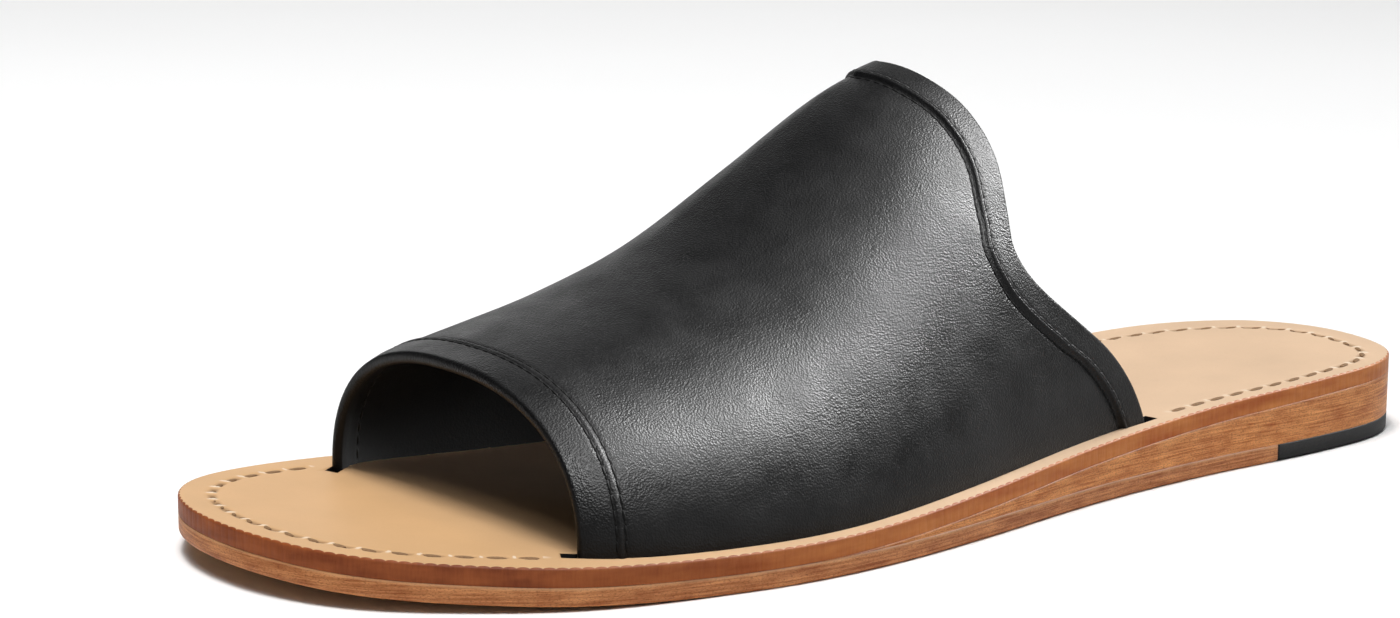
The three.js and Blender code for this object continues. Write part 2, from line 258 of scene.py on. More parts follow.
def cut_edge_leather(name, dark, light, line, line_level, line_share):
    """Waxed cut leather: sanding streaks run along the edge, in strata of pressed fibre with darker specks.
    A pale, patchy line shows along the top of the edge, above line_level. Flat faces away from the edge are plain brown
    leather."""
    material = new_material(name)
    run = add(material, "ShaderNodeAttribute", {}, "Fac", attribute_name="run")
    inset = add(material, "ShaderNodeAttribute", {}, "Fac", attribute_name="inset")
    level = add(material, "ShaderNodeAttribute", {}, "Fac", attribute_name="level")
    place = add(material, "ShaderNodeTexCoord", {}, "Object")
    height = add(material, "ShaderNodeSeparateXYZ", {"Vector": place}, "Z")
    along_edge = add(material, "ShaderNodeCombineXYZ", {"X": run, "Y": height, "Z": inset})
    streak_place = add(material, "ShaderNodeMapping", {"Vector": along_edge, "Scale": (1 / (16 * MM), 1 / (0.45 * MM), 1)})
    streaks = add(material, "ShaderNodeTexNoise", {"Vector": streak_place, "Scale": 1, "Detail": 5, "Roughness": 0.62})
    blotch_place = add(material, "ShaderNodeMapping", {"Vector": along_edge, "Scale": (1 / (7 * MM), 1 / (3 * MM), 1)})
    blotches = add(material, "ShaderNodeTexNoise", {"Vector": blotch_place, "Scale": 1, "Detail": 4, "Roughness": 0.6})
    speck_place = add(material, "ShaderNodeMapping", {"Vector": along_edge, "Scale": (1 / (0.6 * MM), 1 / (0.3 * MM), 1)})
    specks = add(material, "ShaderNodeTexNoise", {"Vector": speck_place, "Scale": 1, "Detail": 3, "Roughness": 0.7})
    tone = add(material, "ShaderNodeMath", {0: blotches, 1: 0.6, 2: streaks}, operation="MULTIPLY_ADD")
    tone = add(material, "ShaderNodeMapRange", {"Value": tone, "From Min": 0.6, "From Max": 1.0})
    stain = add(material, "ShaderNodeMix", {0: tone, 6: colour(dark), 7: colour(light)}, 2, data_type="RGBA")
    speck_mask = add(material, "ShaderNodeMapRange", {"Value": specks, "From Min": 0.5, "From Max": 0.68, "To Max": 0.65})
    stain = add(material, "ShaderNodeMix", {0: speck_mask, 6: stain, 7: colour("#5d3520")}, 2, data_type="RGBA")
    line_noise = add(material, "ShaderNodeMath", {0: blotches, 1: 0.24, 2: level}, operation="MULTIPLY_ADD")
    line_from = {"Value": line_noise, "From Min": line_level + 0.1, "From Max": line_level + 0.24, "To Max": line_share}
    line_mask = add(material, "ShaderNodeMapRange", line_from)
    stain = add(material, "ShaderNodeMix", {0: line_mask, 6: stain, 7: colour(line)}, 2, data_type="RGBA")
    flat = add(material, "ShaderNodeMapRange", {"Value": inset, "From Min": 0.5 * MM, "From Max": 0.9 * MM})
    surface = add(material, "ShaderNodeMix", {0: flat, 6: stain, 7: colour("#a87c55")}, 2, data_type="RGBA")
    relief = add(material, "ShaderNodeMath", {0: specks, 1: 0.5, 2: streaks}, operation="MULTIPLY_ADD")
    bump = add(material, "ShaderNodeBump", {"Height": relief, "Strength": 0.35, "Distance": 0.15 * MM})
    shine = add(material, "ShaderNodeMapRange", {"Value": blotches, "To Min": 0.36, "To Max": 0.58})
    look = {"Base Color": surface, "Roughness": shine, "Normal": bump, "Specular IOR Level": 0.1}
    shader = add(material, "ShaderNodeBsdfPrincipled", look)
    add_output(material, shader)
    return material


def add_output(material, shader):
    """Closes a material with its surface shader."""
    closing = material.node_tree.nodes.new("ShaderNodeOutputMaterial")
    material.node_tree.links.new(shader, closing.inputs["Surface"])


half_gap = layer_gap / 2
outsole_rounding = 0.8 * MM
line_rounding = 0.2 * MM
edge_insets = np.array([0, 0.06, 0.18, 0.34, 0.55, 0.8, 2, 4]) * MM

outsole_edge = cut_edge_leather("waxed_outsole_edge", "#94522c", "#d6935e", "#d9aa7c", 0.84, 0.4)


def outsole_upper_face(x, y, inset):
    return outsole_top(place_of_y(y)) + half_gap - rounded(inset, line_rounding)


def outsole_lower_face(x, y, inset):
    return outsole_bottom(place_of_y(y)) + rounded(inset, outsole_rounding)


outsole_sheet = sole_sheet(130, edge_insets, outsole_upper_face, outsole_lower_face, back=outsole_high.y)
make_piece(outsole_sheet, "leather_outsole", [outsole_edge], "outsole")

# HEEL TOP PIECE
# The real piece is black rubber, moulded as a sheet and cut to the heel, 3.8 mm thick.
# It is glued into the rear of the outsole, level with it, and takes the wear of the heel.
top_piece_low, top_piece_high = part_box("heel_top_piece")

rubber = new_material("black_heel_rubber")
rubber_place = add(rubber, "ShaderNodeTexCoord", {}, "Object")
rubber_stretch = add(rubber, "ShaderNodeMapping", {"Vector": rubber_place, "Scale": (1, 1, 5)})
rubber_grain = add(rubber, "ShaderNodeTexNoise", {"Vector": rubber_stretch, "Scale": 1 / (0.6 * MM), "Detail": 3})
rubber_dust = add(rubber, "ShaderNodeMapRange", {"Value": rubber_grain, "From Min": 0.4, "From Max": 0.8})
rubber_tone = add(
    rubber, "ShaderNodeMix", {0: rubber_dust, 6: colour("#101112"), 7: colour("#232221")}, 2, data_type="RGBA"
)
rubber_bump = add(rubber, "ShaderNodeBump", {"Height": rubber_grain, "Strength": 0.3, "Distance": 0.1 * MM})
rubber_look = {"Base Color": rubber_tone, "Roughness": 0.6, "Normal": rubber_bump, "Specular IOR Level": 0.1}
add_output(rubber, add(rubber, "ShaderNodeBsdfPrincipled", rubber_look))

top_piece_front = top_piece_low.y - half_gap
top_piece_sheet = sole_sheet(100, edge_insets, outsole_upper_face, outsole_lower_face, front=top_piece_front)
make_piece(top_piece_sheet, "rubber_top_piece", [rubber], "heel_top_piece")

# HEEL WEDGE
# The real piece is a stack of thin leather lifts, glued and skived to a feather edge under the waist.
# Its edge is sanded with the rest of the sole, which leaves long streaks, and waxed.
feather_edge = 0.08 * MM
fine_places = np.linspace(0, 1, 1000)
wedge_front = toe_tip + sole_length * fine_places[np.argmax(heel_lift(fine_places) > feather_edge)]

wedge_edge = cut_edge_leather("waxed_stacked_leather_edge", "#a85a2b", "#eda563", "#d8a77c", 0.93, 0.2)


def wedge_rounding(y):
    return np.minimum(line_rounding, heel_lift(place_of_y(y)) / 2)


def wedge_upper_face(x, y, inset):
    return insole_bottom(place_of_y(y)) - half_gap - rounded(inset, wedge_rounding(y))


def wedge_lower_face(x, y, inset):
    return outsole_top(place_of_y(y)) + half_gap + rounded(inset, wedge_rounding(y))


wedge_sheet = sole_sheet(130, edge_insets, wedge_upper_face, wedge_lower_face, front=wedge_front)
make_piece(wedge_sheet, "stacked_heel_wedge", [wedge_edge], "heel_wedge")

# UPPER
# The real piece is one wide band of black cowhide over a thin black lining, about 2 mm together.
# The front edge is turned under as a hem, and a folded strip is sewn along the back edge.
instep_height = 80.5 * MM
upper_wall = 2.0 * MM
hem_width = 7.5 * MM
hem_rise = 0.35 * MM
band_width = 6.0 * MM
band_rise = 0.8 * MM
step_run = 0.7 * MM
fold_rounding = 1.1 * MM
edge_strip = 4.4 * MM

# Sections of the upper from its front edge back: shares of the sole's length, the ball's width and the instep
UPPER_SECTIONS = {
    "along": [0.168, 0.178, 0.195, 0.228, 0.285, 0.352, 0.436, 0.52, 0.604, 0.688, 0.745],
    "skew": [0.115, 0.118, 0.122, 0.125, 0.12, 0.105, 0.075, 0.04, 0, -0.03, -0.05],
    "lateral_tuck": [1.75, 1.5, 1.25, 1.1, 1, 0.95, 1, 1.05, 1.05, 1.05, 1.05],
    "medial_tuck": [2.3, 1.8, 1.5, 1.3, 1.1, 1, 1, 1.05, 1.05, 1.05, 1.05],
    "crest_side": [0.045, 0.037, 0.024, -0.001, -0.039, -0.072, -0.088, -0.087, -0.08, -0.06, -0.037],
    "crest_height": [0.386, 0.396, 0.413, 0.446, 0.506, 0.599, 0.776, 0.948, 1.018, 1.032, 1.06],
}
ARCH_POWERS = {
    "along": [0.168, 0.228, 0.352, 0.52, 0.688, 0.745],
    "side": [0.84, 0.9, 1, 1, 1, 1],
    "crest": [0.866, 0.875, 0.88, 0.87, 0.83, 0.81],
}
BACK_EDGE = {
    "degrees": [0, 5, 10, 14, 18, 22, 26, 31, 37, 48, 60, 75, 90],
    "along": [0.691, 0.672, 0.648, 0.624, 0.601, 0.581, 0.566, 0.557, 0.56, 0.568, 0.567, 0.559, 0.554],
}
section = {name: smooth_column(UPPER_SECTIONS["along"], UPPER_SECTIONS[name]) for name in UPPER_SECTIONS}
arch_power = {name: smooth_column(ARCH_POWERS["along"], ARCH_POWERS[name]) for name in ARCH_POWERS}
back_along = smooth_column(BACK_EDGE["degrees"], BACK_EDGE["along"])
upper_front = UPPER_SECTIONS["along"][0]
small_step = 1e-4
foot_passes = 6


def foot_reach(along, side):
    """Distance across from a section's crest to its foot, which stands on the slot's line."""
    crest_x = section["crest_side"](along) * ball_width
    tuck = np.where(side == LATERAL, section["lateral_tuck"](along), section["medial_tuck"](along))
    reach = np.full(np.shape(along), ball_width / 2)
    for _ in range(foot_passes):
        place = along + section["skew"](along) * reach * side / sole_length
        reach = side * (outline(turn_of_place(place), side)[..., 0] - crest_x) - tuck * edge_strip
    return reach


def skin(along, turn):
    """Outer face of the upper: turn runs from 0 at the lateral foot over the crest to pi at the medial one."""
    side = np.where(np.cos(turn) >= 0, LATERAL, MEDIAL)
    across = side * foot_reach(along, side) * np.abs(np.cos(turn)) ** arch_power["side"](along)
    y = along * sole_length + section["skew"](along) * across
    arch = np.maximum(0, np.sin(turn)) ** arch_power["crest"](along)
    z = insole_top(y / sole_length) + section["crest_height"](along) * instep_height * arch
    return np.stack([section["crest_side"](along) * ball_width + across + side_shift, y + toe_tip, z], -1)


def unit(vectors):
    return vectors / np.linalg.norm(vectors, axis=-1, keepdims=True)


def skin_frame(along, turn):
    """Directions on the skin: towards the heel, round the arch and outwards."""
    heelwards = unit(skin(along + small_step, turn) - skin(along - small_step, turn))
    ahead = skin(along, np.minimum(math.pi, turn + small_step))
    around = unit(ahead - skin(along, np.maximum(0, turn - small_step)))
    return heelwards, around, -unit(np.cross(around, heelwards))


def back_of_turn(turn):
    return back_along(90 - np.abs(90 - np.degrees(turn)))


def band_stretch(turn):
    """The band keeps its width square to the slanting back edge, so it is longer along the foot there."""
    low = np.maximum(0, turn - small_step)
    high = np.minimum(math.pi, turn + small_step)
    edge_run = unit(skin(back_of_turn(high), high) - skin(back_of_turn(low), low))
    heelwards, _, _ = skin_frame(back_of_turn(turn), turn)
    return 1 / np.linalg.norm(np.cross(edge_run, heelwards), axis=-1)


def leather_lengths(turns):
    """Places along the skin at each turn, and the distance over the leather from the front edge to each."""
    share = np.linspace(0, 1, 240)
    places = upper_front + (back_of_turn(turns)[:, None] - upper_front) * share
    points = skin(places, turns[:, None] + 0 * places)
    lengths = np.cumsum(np.linalg.norm(np.diff(points, axis=1), axis=2), axis=1)
    return places, np.pad(lengths, ((0, 0), (1, 0)))


seam_half = 0.95 * MM
stitch_groove = 0.16 * MM
groove_width = 0.35 * MM
ridge_rise = 0.12 * MM

# Creases that the last and the wearer's hand leave: place, turn in degrees, length, width and depth in mm
SOFT_CREASES = [
    {"along": 0.3, "degrees": 14, "lean": 47, "length": 26, "width": 6, "depth": 0.25},
    {"along": 0.36, "degrees": 24, "lean": 60, "length": 30, "width": 10, "depth": 0.2},
    {"along": 0.43, "degrees": 17, "lean": 35, "length": 44, "width": 12, "depth": 0.22},
    {"along": 0.6, "degrees": 30, "lean": -30, "length": 36, "width": 12, "depth": 0.2},
]


def seam_relief(distance):
    """Two pressed stitch lines with a soft ridge between them."""
    lines = [np.exp(-(((distance - side * seam_half) / groove_width) ** 2)) for side in (-1, 1)]
    ridge = np.exp(-((distance / (0.7 * seam_half)) ** 2))
    return ridge_rise * ridge - stitch_groove * (lines[0] + lines[1])


def leather_rise(from_front, from_back):
    """Relief of the outer face: the hem, the band and their seams."""
    hem = hem_rise * (1 - step_up(from_front, hem_width, step_run))
    band = band_rise * (1 - step_up(from_back, band_width - 0.6 * step_run, 1.2 * step_run))
    return hem + band + seam_relief(from_front - hem_width) + seam_relief(from_back - band_width)


def crease_depth(along, turn):
    """Depth of the soft creases at a place on the skin."""
    depth = np.zeros_like(along)
    for crease in SOFT_CREASES:
        lean = math.radians(crease["lean"])
        ahead = (along - crease["along"]) * sole_length
        around = (turn - math.radians(crease["degrees"])) * instep_height * 0.75
        length = (ahead * math.cos(lean) + around * math.sin(lean)) / (crease["length"] * MM / 2)
        width = (around * math.cos(lean) - ahead * math.sin(lean)) / (crease["width"] * MM / 2)
        depth += crease["depth"] * MM * np.exp(-(length**2) - width**2)
    return depth


front_zone = np.arange(0, 10.5, 0.3) * MM
back_zone = np.arange(0, 9.5, 0.3) * MM
middle_rows = 46
lining_seam = 6 * MM
lining_step = 0.4 * MM
inner_front_zone = np.arange(0, 9, 0.6) * MM
inner_rows = 34
nose_rows = 9


turns_per_side = 120
foot_crowding = 1.35
steps = np.arange(-turns_per_side, turns_per_side + 1)
quarter_turns = math.pi / 2 * (1 - np.abs(steps) / turns_per_side) ** foot_crowding
upper_turns = np.where(steps < 0, quarter_turns, math.pi - quarter_turns)
leather_places, leather_runs = leather_lengths(upper_turns)
leather_ends = leather_runs[:, -1:]
stretch = band_stretch(upper_turns)[:, None]


def on_leather(distance, rise):
    """Points, heelward and outward directions at distances from the front edge, a row of them for each turn."""
    distance = distance + np.zeros_like(leather_ends)
    along = np.array([np.interp(*row) for row in zip(distance, leather_runs, leather_places)])
    turns = upper_turns[:, None] + np.zeros_like(along)
    heelwards, _, outwards = skin_frame(along, turns)
    lifted = skin(along, turns) + outwards * (rise - crease_depth(along, turns))[..., None]
    return lifted, heelwards, outwards


def spread(start, end, count):
    """Distances that divide the way from start to end, one row for each turn."""
    return start + (end - start) * np.linspace(0, 1, count + 2)[1:-1]


back_at = leather_ends - back_zone[::-1] * stretch
front_at = front_zone + np.zeros_like(leather_ends)
outer_at = np.concatenate([front_at, spread(front_zone[-1], back_at[:, :1], middle_rows), back_at], 1)
inner_at = np.concatenate(
    [inner_front_zone + 0 * leather_ends, spread(inner_front_zone[-1], leather_ends, inner_rows), leather_ends], 1
)
outer, heelwards, outwards = on_leather(outer_at, leather_rise(outer_at, (leather_ends - outer_at) / stretch))
inner, _, _ = on_leather(inner_at, -upper_wall - lining_step * (1 - step_up(inner_at, lining_seam, step_run)))
nose_angles = np.linspace(0, math.pi, nose_rows + 2)[1:-1, None]
noses = []
for end, direction in ((-1, 1), (0, -1)):
    centre = ((outer[:, end] + inner[:, end]) / 2)[:, None]
    half = np.linalg.norm(outer[:, end] - inner[:, end], axis=1)[:, None, None] / 2
    ahead = heelwards[:, None, end] * direction * fold_rounding
    noses.append(centre + outwards[:, None, end] * half * np.cos(nose_angles) + ahead * np.sin(nose_angles))

# Closed sections of the wall: outer face, back nose, inner face and front nose
rings = np.concatenate([outer, noses[0], inner[:, ::-1], noses[1][:, ::-1]], 1)


def tucked(ring):
    """The ring's foot at the bottom of the insole's slot."""
    down = ring.copy()
    down[:, 2] = insole_bottom(place_of_y(ring[:, 1]))
    return down


rings = np.concatenate([[tucked(rings[0])], rings, [tucked(rings[-1])]])
ring_count, ring_size = rings.shape[:2]
outer_count = len(front_zone) + middle_rows + len(back_zone)
inner_start = outer_count + nose_rows
inner_end = ring_size - nose_rows

upper_mesh = bmesh.new()
bmesh.ops.create_grid(upper_mesh, x_segments=ring_count - 1, y_segments=ring_size, size=1)
for face in upper_mesh.faces:
    row = (face.calc_center_median().y + 1) / 2 * ring_size
    face.material_index = int(inner_start < row < inner_end)
for vert in upper_mesh.verts:
    ring_index = round((vert.co.x + 1) / 2 * (ring_count - 1))
    row_index = round((vert.co.y + 1) / 2 * ring_size) % ring_size
    vert.co = rings[ring_index, row_index]
bmesh.ops.remove_doubles(upper_mesh, verts=upper_mesh.verts[:], dist=1e-7)
bmesh.ops.holes_fill(upper_mesh, edges=[edge for edge in upper_mesh.edges if edge.is_boundary])
bmesh.ops.recalc_face_normals(upper_mesh, faces=upper_mesh.faces[:])


def black_hide(name, tone, deep, roughness, specular, grain_size, grain_depth):
    """Black leather: a pebbled grain with fine pores, whose low spots are darker and a little glossier."""
    material = new_material(name)
    place = add(material, "ShaderNodeTexCoord", {}, "Object")
    warp = add(material, "ShaderNodeTexNoise", {"Vector": place, "Scale": 1 / (1.3 * MM), "Detail": 2}, "Color")
    bent_add = {0: warp, 1: (0.35 * MM,) * 3, 2: place}
    bent = add(material, "ShaderNodeVectorMath", bent_add, operation="MULTIPLY_ADD")
    pebbles = add(material, "ShaderNodeTexVoronoi", {"Vector": bent, "Scale": 1 / grain_size}, "Distance")
    pores = add(material, "ShaderNodeTexNoise", {"Vector": place, "Scale": 1 / (0.35 * MM), "Detail": 2})
    clouds = add(material, "ShaderNodeTexNoise", {"Vector": place, "Scale": 1 / (9 * MM), "Detail": 4})
    fine = add(material, "ShaderNodeMath", {0: pores, 1: 0.5, 2: pebbles}, operation="MULTIPLY_ADD")
    relief = add(material, "ShaderNodeMath", {0: clouds, 1: 2.5, 2: fine}, operation="MULTIPLY_ADD")
    bump = add(material, "ShaderNodeBump", {"Height": relief, "Strength": 1, "Distance": grain_depth})
    tone_mask = add(material, "ShaderNodeMapRange", {"Value": clouds, "From Min": 0.3, "From Max": 0.7})
    surface_mix = {0: tone_mask, 6: colour(deep), 7: colour(tone)}
    surface = add(material, "ShaderNodeMix", surface_mix, 2, data_type="RGBA")
    wear = add(material, "ShaderNodeMath", {0: clouds, 1: 1.5, 2: pores}, operation="MULTIPLY_ADD")
    dull = {"Value": wear, "From Min": 0.9, "From Max": 1.6, "To Min": roughness - 0.08, "To Max": roughness + 0.1}
    dullness = add(material, "ShaderNodeMapRange", dull)
    look = {"Base Color": surface, "Roughness": dullness, "Normal": bump, "Specular IOR Level": specular}
    add_output(material, add(material, "ShaderNodeBsdfPrincipled", look))
    return material


cowhide = black_hide("black_full_grain_cowhide", "#0c0c0d", "#080809", 0.4, 0.14, 0.42 * MM, 0.075 * MM)
lining = black_hide("black_lining_leather", "#121212", "#0d0d0d", 0.7, 0.2, 0.5 * MM, 0.02 * MM)
make_piece(upper_mesh, "leather_band_upper", [cowhide, lining], "upper")

# SEAMS OF THE UPPER
# The real seams are two rows of black polyester thread on each side of the hem's and the band's joint.
# A machine sews them about 8 stitches to 25 mm, and each thread end dips into a needle hole, whose shade is painted as
# a flat near-black blob.
stitch_pitch = 3.0 * MM
stitch_length = 2.4 * MM
thread_radius = 0.28 * MM
hole_radius = 0.36 * MM


def stitch_row(bm, points, outs, pitch, length, radius, flatness=0.7, sides=8, rings=5):
    """Lays rounded stitches along a line, each a stretched ball that follows the line and lies flat on it."""
    runs = run_along(points)
    count = int(runs[-1] / pitch)
    for k in range(count):
        at = (k + 0.5) * runs[-1] / count
        centre, out, before, after = (
            Vector([np.interp(run, runs, column) for column in values.T])
            for run, values in ((at, points), (at, outs), (at - length / 2, points), (at + length / 2, points))
        )
        ahead = (after - before).normalized()
        across = out.cross(ahead).normalized()
        turned = Matrix((across * radius, ahead.cross(across) * -radius * flatness, ahead * length / 2)).transposed()
        placed = Matrix.Translation(centre) @ turned.to_4x4()
        bmesh.ops.create_uvsphere(bm, u_segments=sides, v_segments=rings, radius=1, matrix=placed)


def on_seam(distance, level):
    """Points and outward directions of a line at a distance over the leather, without the feet in the slots."""
    points, _, outs = (part[3:-3, 0] for part in on_leather(distance, level))
    return points, outs


black_rows = bmesh.new()
glint_grey_rows = bmesh.new()
painted_hole_shadows = bmesh.new()
for side in (-1, 1):
    hem_at = hem_width + side * seam_half
    band_at = band_width + side * seam_half
    hem_level = leather_rise(np.array(hem_at), np.array(1))
    band_level = leather_rise(np.array(1), np.array(band_at))
    # The band's outer row is sewn with the grey thread, whose lighter strands are a painted glint
    band_rows = glint_grey_rows if side < 0 else black_rows
    for rows, distance, level in (
        (black_rows, hem_at, hem_level),
        (band_rows, leather_ends - band_at * stretch, band_level),
    ):
        points, outs = on_seam(distance, level)
        stitch_row(rows, points + outs * 0.05 * MM, outs, stitch_pitch, stitch_length, thread_radius)
        runs = run_along(points)
        between = (runs > stitch_pitch / 2) & (runs < runs[-1] - stitch_pitch / 2)
        stitch_row(painted_hole_shadows, points[between], outs[between], stitch_pitch, 3 * hole_radius, hole_radius, 0.4)

lining_level = -upper_wall - lining_step / 2
points, outs = on_seam(lining_seam + 0.8 * MM, lining_level)
stitch_row(glint_grey_rows, points, -outs, stitch_pitch, stitch_length, thread_radius)


def thread_material(name, dark, light, specular):
    """Twisted thread: fine light and dark strands mixed at random, with a soft sheen."""
    material = new_material(name)
    place = add(material, "ShaderNodeTexCoord", {}, "Object")
    twist = add(material, "ShaderNodeTexNoise", {"Vector": place, "Scale": 1 / (0.3 * MM), "Detail": 2})
    bump = add(material, "ShaderNodeBump", {"Height": twist, "Strength": 0.6, "Distance": 0.08 * MM})
    strands = {0: twist, 6: colour(dark), 7: colour(light)}
    tone = add(material, "ShaderNodeMix", strands, 2, data_type="RGBA")
    look = {"Base Color": tone, "Roughness": 0.55, "Normal": bump, "Specular IOR Level": specular}
    add_output(material, add(material, "ShaderNodeBsdfPrincipled", look))
    return material


# Black thread: its own black, made darker still as painted shade, so that the stitches show as dark dashes
black_thread = thread_material("black_polyester_thread", "#040404", "#101010", 0.08)
# Grey thread: black thread with lighter grey strands, a painted glint where stitches catch the light; it also sews the
# lining seam
glint_grey_thread = thread_material("black_thread_with_painted_glints", "#101010", "#303030", 0.15)

# Painted shade of the needle holes: nearly black and without shine, a little uneven at 0.4 mm
painted_hole_shadow = new_material("painted_needle_hole_shadow")
hole_place = add(painted_hole_shadow, "ShaderNodeTexCoord", {}, "Object")
hole_noise = add(painted_hole_shadow, "ShaderNodeTexNoise", {"Vector": hole_place, "Scale": 1 / (0.4 * MM)})
hole_shadow_mix = {0: hole_noise, 6: colour("#020202"), 7: colour("#0b0b0b")}
hole_shadow_tone = add(painted_hole_shadow, "ShaderNodeMix", hole_shadow_mix, 2, data_type="RGBA")
hole_look = {"Base Color": hole_shadow_tone, "Roughness": 0.9, "Specular IOR Level": 0.1}
add_output(painted_hole_shadow, add(painted_hole_shadow, "ShaderNodeBsdfPrincipled", hole_look))

make_piece(black_rows, "upper_black_stitches", [black_thread])
make_piece(glint_grey_rows, "upper_glint_grey_stitches", [glint_grey_thread])
make_piece(painted_hole_shadows, "upper_painted_hole_shadows", [painted_hole_shadow])

# INSOLE
# The real piece is smooth natural vegetable-tanned leather, 3.8 mm thick, its top edge run over by a wheel.
# The upper's two feet go down through slots in it, and it is sewn and glued to the outsole.
insole_rounding = 0.6 * MM
slot_clearance = 0.3 * MM
slot_end_room = 3.2 * MM
insole_stitch_pitch = 6.1 * MM
insole_stitch_length = 4.5 * MM
dimple_depth = 0.45 * MM
dimple_width = 1.0 * MM
between_rise = 0.22 * MM
wheel_pitch = 2.5 * MM
insole_insets = np.concatenate([[0, 0.06, 0.18, 0.34, 0.6], np.arange(0.95, 10.5, 0.35)]) * MM

# Distance of the insole's stitches from the outline in mm: the toe's run goes between the slots' front ends,
# and the heel's run between their rear ends
STITCH_RUNS = {
    "toe": {
        "joins_at": 0,
        "lateral": ([0, 0.06, 0.152], [7, 6.6, 8]),
        "medial": ([0, 0.06, 0.132], [7, 6.8, 7.6]),
    },
    "heel": {
        "joins_at": 1,
        "lateral": ([0.722, 0.85, 0.97, 1], [5.2, 4.9, 6.2, 7.8]),
        "medial": ([0.722, 0.85, 0.97, 1], [6.6, 8.3, 8.5, 7.8]),
    },
}


def insole_stitch_line(run):
    """Points of one run of stitches on the insole, from its medial end round to its lateral end."""
    halves = []
    for side, name in ((MEDIAL, "medial"), (LATERAL, "lateral")):
        places, insets = run[name]
        turns = np.linspace(turn_of_place(places[0]), turn_of_place(places[-1]), 300)
        inset = smooth_column(places, insets)(place_of_turn(turns)) * MM
        line = inset_outline(turns, np.full(turns.shape, side), inset)
        from_join = run["joins_at"] == 0
        halves.append(line if (side == LATERAL) == from_join else line[::-1])
    return np.concatenate(halves)


def stitch_spots(line):
    """Middle and direction of each stitch on a line."""
    runs = run_along(line)
    count = round(runs[-1] / insole_stitch_pitch)
    at = (np.arange(count) + 0.5) * runs[-1] / count
    spot = np.stack([np.interp(at, runs, line[:, k]) for k in (0, 1)], -1)
    ahead = np.stack([np.interp(at + MM, runs, line[:, k]) for k in (0, 1)], -1)
    behind = np.stack([np.interp(at - MM, runs, line[:, k]) for k in (0, 1)], -1)
    return spot, unit(ahead - behind)


stitch_lines = [insole_stitch_line(run) for run in STITCH_RUNS.values()]
spots, directions = (np.concatenate(parts) for parts in zip(*map(stitch_spots, stitch_lines)))


def stitch_relief(x, y):
    """Depth that the stitches press into the insole, with the leather a little raised between them."""
    pressed = np.zeros_like(x)
    for spot, direction in zip(spots, directions):
        along = (x - spot[0]) * direction[0] + (y - spot[1]) * direction[1]
        across = (y - spot[1]) * direction[0] - (x - spot[0]) * direction[1]
        near = (np.abs(along) < insole_stitch_pitch) & (np.abs(across) < 4 * dimple_width)
        inside = 1 - step_up(np.abs(along[near]), 0.36 * insole_stitch_length, 1.2 * MM)
        between = np.exp(-(((np.abs(along[near]) - insole_stitch_pitch / 2) / (0.9 * MM)) ** 2)) / 2
        beside = np.exp(-((across[near] / dimple_width) ** 2))
        pressed[near] += (dimple_depth * inside - between_rise * between) * beside
    return pressed


def insole_upper_face(x, y, inset):
    return insole_top(place_of_y(y)) - rounded(inset, insole_rounding) - stitch_relief(x, y)


def insole_lower_face(x, y, inset):
    return insole_bottom(place_of_y(y)) - half_gap + rounded(inset, line_rounding)


insole_leather = new_material("natural_vegetable_tanned_leather")
insole_run = add(insole_leather, "ShaderNodeAttribute", {}, "Fac", attribute_name="run")
insole_inset = add(insole_leather, "ShaderNodeAttribute", {}, "Fac", attribute_name="inset")
insole_level = add(insole_leather, "ShaderNodeAttribute", {}, "Fac", attribute_name="level")
insole_place = add(insole_leather, "ShaderNodeTexCoord", {}, "Object")
insole_height = add(insole_leather, "ShaderNodeSeparateXYZ", {"Vector": insole_place}, "Z")
cloudy = add(insole_leather, "ShaderNodeTexNoise", {"Vector": insole_place, "Scale": 1 / (28 * MM), "Detail": 4})
fine_pores = add(insole_leather, "ShaderNodeTexNoise", {"Vector": insole_place, "Scale": 1 / (0.5 * MM), "Detail": 3})
insole_along = add(insole_leather, "ShaderNodeSeparateXYZ", {"Vector": insole_place}, "Y")
heelward_range = {"Value": insole_along, "From Min": toe_tip + 40 * MM, "From Max": toe_tip + 150 * MM}
heelward = add(insole_leather, "ShaderNodeMapRange", heelward_range)
# The top turns paler and lighter towards the heel: painted sheen
top_sheen_mix = {0: heelward, 6: colour("#cfa679"), 7: colour("#dabb9c")}
top_tone = add(insole_leather, "ShaderNodeMix", top_sheen_mix, 2, data_type="RGBA")
cloud_range = {"Value": cloudy, "From Min": 0.3, "From Max": 0.7, "To Min": 0.93, "To Max": 1.05}
cloud_gain = add(insole_leather, "ShaderNodeMapRange", cloud_range)
top_tone = add(insole_leather, "ShaderNodeVectorMath", {0: top_tone, "Scale": cloud_gain}, operation="SCALE")
pressed = add(insole_leather, "ShaderNodeAttribute", {}, "Fac", attribute_name="pressed")
# The raised leather between the stitches is painted pale, a painted highlight, and the dimples are painted dark brown,
# a painted shade
stitch_gap_highlight_range = {"Value": pressed, "From Min": -0.02 * MM, "From Max": -0.11 * MM, "To Max": 0.75}
pale = add(insole_leather, "ShaderNodeMapRange", stitch_gap_highlight_range)
top_tone = add(insole_leather, "ShaderNodeMix", {0: pale, 6: top_tone, 7: colour("#ecdcc6")}, 2, data_type="RGBA")
dimple_shade_range = {"Value": pressed, "From Min": 0.1 * MM, "From Max": 0.4 * MM, "To Max": 0.8}
dark = add(insole_leather, "ShaderNodeMapRange", dimple_shade_range)
top_tone = add(insole_leather, "ShaderNodeMix", {0: dark, 6: top_tone, 7: colour("#8a6a49")}, 2, data_type="RGBA")
pore_mask = add(insole_leather, "ShaderNodeMapRange", {"Value": fine_pores, "From Min": 0.55, "From Max": 0.8, "To Max": 0.18})
